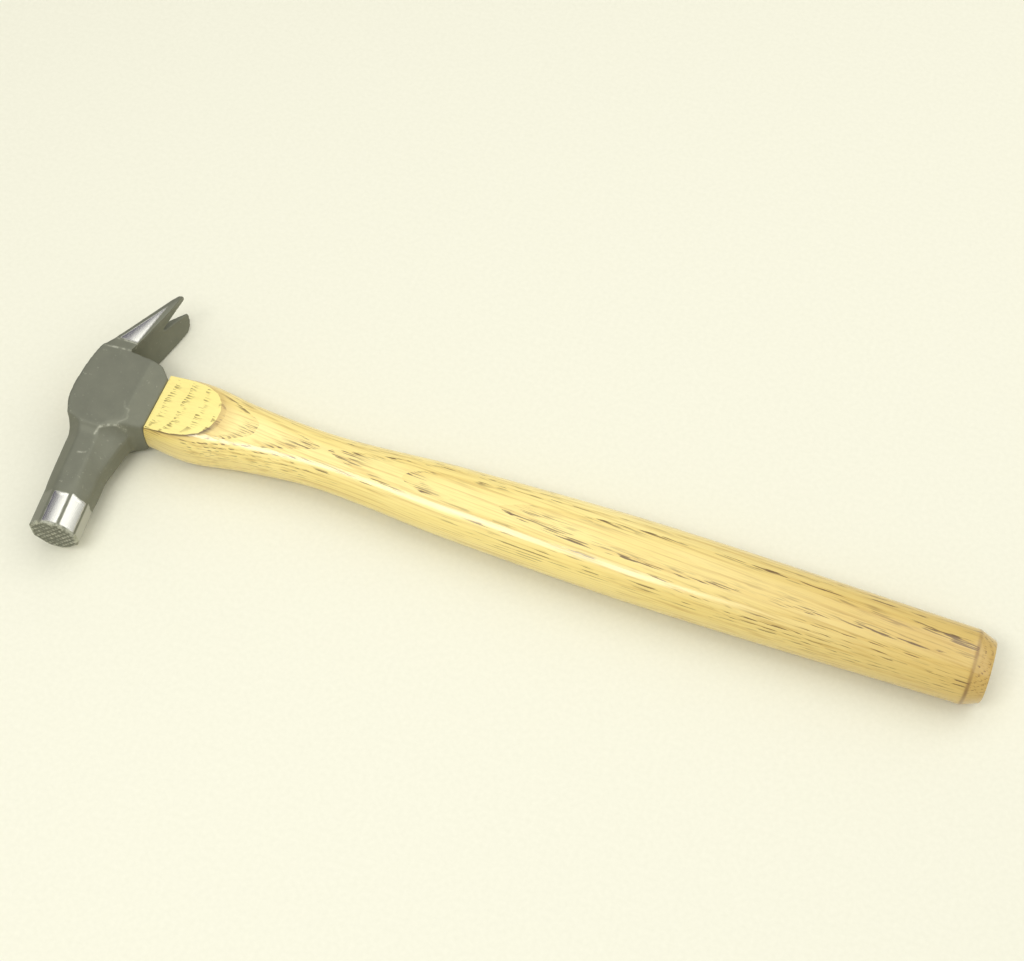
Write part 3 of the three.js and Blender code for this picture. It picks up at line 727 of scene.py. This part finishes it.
# The first two browns are painted shade and a painted shadow line at the rim of the flats.
browns = (
    (rim_grain_and_painted_shade, "#b98a3c"),
    (rim_painted_shadow, "#4f3b12"),
    (chamfer_shade, "#a87c30"),
    (chamfer_line, "#70490f"),
)
for share, brown in browns:
    wood_colour = add_node(
        tree, "ShaderNodeMix", {0: share, 6: wood_colour, 7: linear(brown)}, data_type="RGBA"
    ).outputs[2]
lacquer = add_node(tree, "ShaderNodeBump", {"Height": streak, "Strength": 0.35, "Distance": 0.06 * MM})
shader = add_node(
    tree,
    "ShaderNodeBsdfPrincipled",
    {
        "Base Color": wood_colour,
        "Roughness": 0.45,
        "IOR": 1.5,
        "Coat Weight": 1,
        "Coat Roughness": 0.16,
        "Coat IOR": 1.5,
        "Coat Normal": lacquer.outputs[0],
    },
)
add_node(tree, "ShaderNodeOutputMaterial", {0: shader.outputs[0]})

# Bare sawn ash on the flats: the same rings cut at a slant, so their pores stand in rows across it.
sawn_wood, tree, place = new_material("ash_bare_and_sawn")
_, pore, _, slow = wood_grain(tree, place)
late_colour = add_node(
    tree, "ShaderNodeMix", {0: slow, 6: linear("#f1dc82"), 7: linear("#fbec9a")}, data_type="RGBA"
).outputs[2]
pore_share = add_node(tree, "ShaderNodeMath", {0: pore, 1: 0.8}, operation="MULTIPLY").outputs[0]
wood_colour = add_node(
    tree, "ShaderNodeMix", {0: pore_share, 6: late_colour, 7: linear("#66500f")}, data_type="RGBA"
).outputs[2]
shader = add_node(
    tree, "ShaderNodeBsdfPrincipled", {"Base Color": wood_colour, "Roughness": 0.6, "IOR": 1.5}
)
add_node(tree, "ShaderNodeOutputMaterial", {0: shader.outputs[0]})

FLAT_TOLERANCE = 0.01
# Joining the tenon leaves an empty slot behind
handle.data.materials.clear()
handle.data.materials.append(lacquered_wood)
handle.data.materials.append(sawn_wood)
for face in handle.data.polygons:
    x, _, z = (face.center - AXIS) / MM
    above_flat = abs(z) - FLAT_HALF - FLAT_SLOPE * x
    face.material_index = int(x > 0 and abs(above_flat) < FLAT_TOLERANCE)
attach(handle, "root")
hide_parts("handle")


# Wooden wedge: a thin slip of sawn hardwood, driven into the kerf of the tenon to spread it.

EDGE_BREAK = 0.2 * MM
wooden_wedge = copy_of_node("wooden_wedge", "hardwood_wedge")
finish_with(wooden_wedge, "BEVEL", width=EDGE_BREAK, segments=2, limit_method="ANGLE")
bpy.ops.object.shade_smooth_by_angle(angle=math.radians(30))

# Bare sawn hardwood: warm brown, matte, with fine fibres along it, drawn about twice as coarse as
# real ones.
FIBRE_LENGTH, FIBRE_WIDTH = 8, 0.4
hardwood, tree, place = new_material("hardwood_sawn")
fibre_place = add_node(
    tree,
    "ShaderNodeVectorMath",
    {0: place, 1: (1 / FIBRE_LENGTH, 1 / FIBRE_WIDTH, 1 / FIBRE_WIDTH)},
    operation="MULTIPLY",
).outputs[0]
fibre = add_node(tree, "ShaderNodeTexNoise", {"Vector": fibre_place, "Scale": 1, "Detail": 3}).outputs[0]
colour = add_node(
    tree, "ShaderNodeMix", {0: fibre, 6: linear("#a87d48"), 7: linear("#d9b47c")}, data_type="RGBA"
).outputs[2]
bump = add_node(tree, "ShaderNodeBump", {"Height": fibre, "Strength": 0.4, "Distance": 0.08 * MM})
shader = add_node(
    tree,
    "ShaderNodeBsdfPrincipled",
    {"Base Color": colour, "Roughness": 0.7, "IOR": 1.5, "Normal": bump.outputs[0]},
)
add_node(tree, "ShaderNodeOutputMaterial", {0: shader.outputs[0]})
wooden_wedge.data.materials.append(hardwood)
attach(wooden_wedge, "root")
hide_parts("wooden_wedge")


# Steel wedge: a small cut piece of flat steel, driven across the wooden one to lock it.

steel_wedge = copy_of_node("steel_wedge", "cut_steel_wedge")
finish_with(steel_wedge, "BEVEL", width=EDGE_BREAK, segments=2, limit_method="ANGLE")
bpy.ops.object.shade_smooth_by_angle(angle=math.radians(30))

# Rolled steel, bare: mid grey with fine rolling lines and a little brown tarnish.
ROLL_LENGTH, ROLL_WIDTH = 6, 0.25
TARNISH = 2.5
rolled_steel, tree, place = new_material("rolled_steel_bare")
roll_place = add_node(
    tree,
    "ShaderNodeVectorMath",
    {0: place, 1: (1 / ROLL_LENGTH, 1 / ROLL_WIDTH, 1 / ROLL_WIDTH)},
    operation="MULTIPLY",
).outputs[0]
roll = add_node(tree, "ShaderNodeTexNoise", {"Vector": roll_place, "Scale": 1, "Detail": 2}).outputs[0]
tarnish = add_node(
    tree, "ShaderNodeTexNoise", {"Vector": place, "Scale": 1 / TARNISH, "Detail": 3}
).outputs[0]
tarnish = add_node(tree, "ShaderNodeMapRange", {0: tarnish, 1: 0.5, 2: 0.75}).outputs[0]
colour = add_node(
    tree, "ShaderNodeMix", {0: tarnish, 6: linear("#97989a"), 7: linear("#7a6a58")}, data_type="RGBA"
).outputs[2]
rough = add_node(tree, "ShaderNodeMapRange", {0: roll, 3: 0.3, 4: 0.5}).outputs[0]
bump = add_node(tree, "ShaderNodeBump", {"Height": roll, "Strength": 0.3, "Distance": 0.03 * MM})
shader = add_node(
    tree,
    "ShaderNodeBsdfPrincipled",
    {"Base Color": colour, "Metallic": 1, "Roughness": rough, "Normal": bump.outputs[0]},
)
add_node(tree, "ShaderNodeOutputMaterial", {0: shader.outputs[0]})
steel_wedge.data.materials.append(rolled_steel)
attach(steel_wedge, "root")
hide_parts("steel_wedge")


# Studio: a sheet of pale cream paper under a pale sky and three soft lamps. A broad one hangs
# overhead, a long one over the camera's shoulder draws the gloss along the handle, and a wide one at
# the right lights the neck and the bevel of the head.

bpy.ops.object.select_all(action="DESELECT")
bpy.ops.mesh.primitive_plane_add(size=6)
floor = bpy.context.object
floor.name = "paper_floor"
# Cream paper: matte, with a faint mottle of its fibres.
PAPER_MOTTLE = 5 / 3
paper, tree, place = new_material("cream_paper")
fibres = add_node(
    tree, "ShaderNodeTexNoise", {"Vector": place, "Scale": 1 / PAPER_MOTTLE, "Detail": 4}
).outputs[0]
colour = add_node(
    tree, "ShaderNodeMix", {0: fibres, 6: linear("#e4e2cf"), 7: linear("#edebd9")}, data_type="RGBA"
).outputs[2]
shader = add_node(tree, "ShaderNodeBsdfPrincipled", {"Base Color": colour, "Roughness": 0.9})
add_node(tree, "ShaderNodeOutputMaterial", {0: shader.outputs[0]})
floor.data.materials.append(paper)

world = bpy.data.worlds.new("studio")
bpy.context.scene.world = world
world.use_nodes = True
tree = world.node_tree
tree.nodes.clear()
direction = add_node(tree, "ShaderNodeTexCoord").outputs["Generated"]
# A dark screen up behind the head, which the ground steel mirrors along one edge
SCREEN_WAY = Vector((-0.6, 0.45, 0.66)).normalized()
SCREEN_EDGE, SCREEN_FULL = math.radians(21), math.radians(13)
facing = add_node(
    tree, "ShaderNodeVectorMath", {0: direction, 1: SCREEN_WAY}, operation="DOT_PRODUCT"
).outputs["Value"]
screen = add_node(
    tree,
    "ShaderNodeMapRange",
    {0: facing, 1: math.cos(SCREEN_EDGE), 2: math.cos(SCREEN_FULL)},
    interpolation_type="SMOOTHSTEP",
).outputs[0]
colour = add_node(
    tree, "ShaderNodeMix", {0: screen, 6: linear("#fbfbf6"), 7: linear("#76728a")}, data_type="RGBA"
).outputs[2]
sky = add_node(tree, "ShaderNodeBackground", {0: colour, 1: 0.65})
add_node(tree, "ShaderNodeOutputWorld", {0: sky.outputs[0]})


def lamp(name, place, target, size, power):
    """A soft rectangular lamp that faces the target."""
    light = bpy.data.lights.new(name, "AREA")
    light.shape = "RECTANGLE"
    light.size, light.size_y = size
    light.energy = power
    lamp_object = bpy.data.objects.new(name, light)
    bpy.context.scene.collection.objects.link(lamp_object)
    lamp_object.location = place
    lamp_object.rotation_euler = (Vector(target) - Vector(place)).to_track_quat("-Z", "Y").to_euler()


lamp("key_lamp", (-0.07, 0.4, 1.1), (-0.07, 0.4, 0), (1.12, 1), 3.5)
lamp("gloss_lamp", (-0.19, -0.42, 0.83), (-0.02, 0, 0), (0.45, 0.26), 3)
lamp("side_lamp", (0.59, 0.36, 0.66), (-0.15, -0.04, 0.02), (1, 0.7), 2.1)

camera = bpy.data.objects.new("camera", bpy.data.cameras.new("camera"))
bpy.context.scene.collection.objects.link(camera)
camera.data.sensor_width = 36
camera.data.lens = 63.28
camera.location = Vector((95.32, -263.89, 561.15)) * MM
aim = Vector((-9.6, 28.36, 1)) * MM
camera.rotation_euler = (aim - camera.location).to_track_quat("-Z", "Y").to_euler()
camera.data.clip_start = 0.01
bpy.context.scene.camera = camera
bpy.context.scene.view_settings.view_transform = "Standard"
